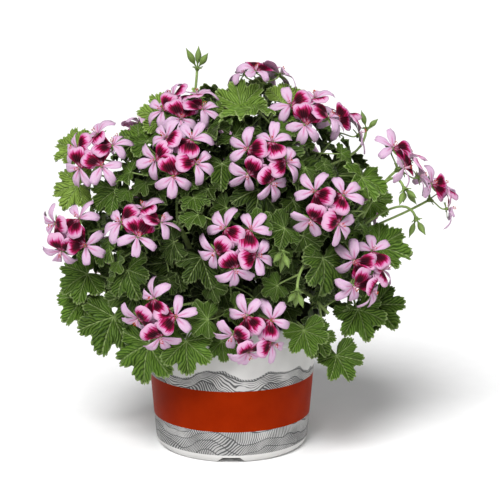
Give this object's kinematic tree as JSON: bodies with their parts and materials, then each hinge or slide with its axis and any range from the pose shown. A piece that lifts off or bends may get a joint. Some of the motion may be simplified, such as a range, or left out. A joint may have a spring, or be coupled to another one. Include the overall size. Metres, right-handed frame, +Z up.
{
  "type": "potted pelargonium",
  "caption": "Bushy pelargonium with lobed green leaves, green buds and heads of lilac-pink flowers with dark maroon blotches, standing in a round banded plastic pot of soil",
  "frame": {"origin": "under the middle of the whole plant's box, on the surface that the pot's foot stands on", "axes": "+Z up along the pot's axis, +X to the right and +Y away as the plant is seen from the front, metres"},
  "size_m": [0.4434, 0.3232, 0.426],
  "materials": {
    "pot_plastic": "satin",
    "potting_mix": "matte",
    "leaf_green": "matte",
    "petal_pink": "matte"
  },
  "bodies": {
    "root": {"pot": "pot_plastic", "soil": "potting_mix", "stem_01": "leaf_green", "stem_02": "leaf_green", "stem_03": "leaf_green", "stem_04": "leaf_green", "stem_05": "leaf_green", "stem_06": "leaf_green", "stem_07": "leaf_green", "stem_08": "leaf_green", "stem_09": "leaf_green", "stem_10": "leaf_green", "stem_11": "leaf_green", "stem_12": "leaf_green", "bloom_01": "petal_pink", "bloom_02": "petal_pink", "bloom_03": "petal_pink", "bloom_04": "petal_pink", "bloom_05": "petal_pink", "bloom_06": "petal_pink", "bloom_07": "petal_pink", "bloom_08": "petal_pink", "bloom_09": "petal_pink", "bloom_10": "petal_pink", "bloom_11": "petal_pink", "bloom_12": "petal_pink", "bloom_13": "petal_pink", "bloom_14": "petal_pink", "bloom_15": "petal_pink", "bloom_16": "petal_pink", "bloom_17": "petal_pink", "bloom_18": "petal_pink", "bloom_19": "petal_pink", "bloom_20": "petal_pink", "bloom_21": "petal_pink", "bloom_22": "petal_pink", "bloom_23": "petal_pink"}
  },
  "joints": []
}
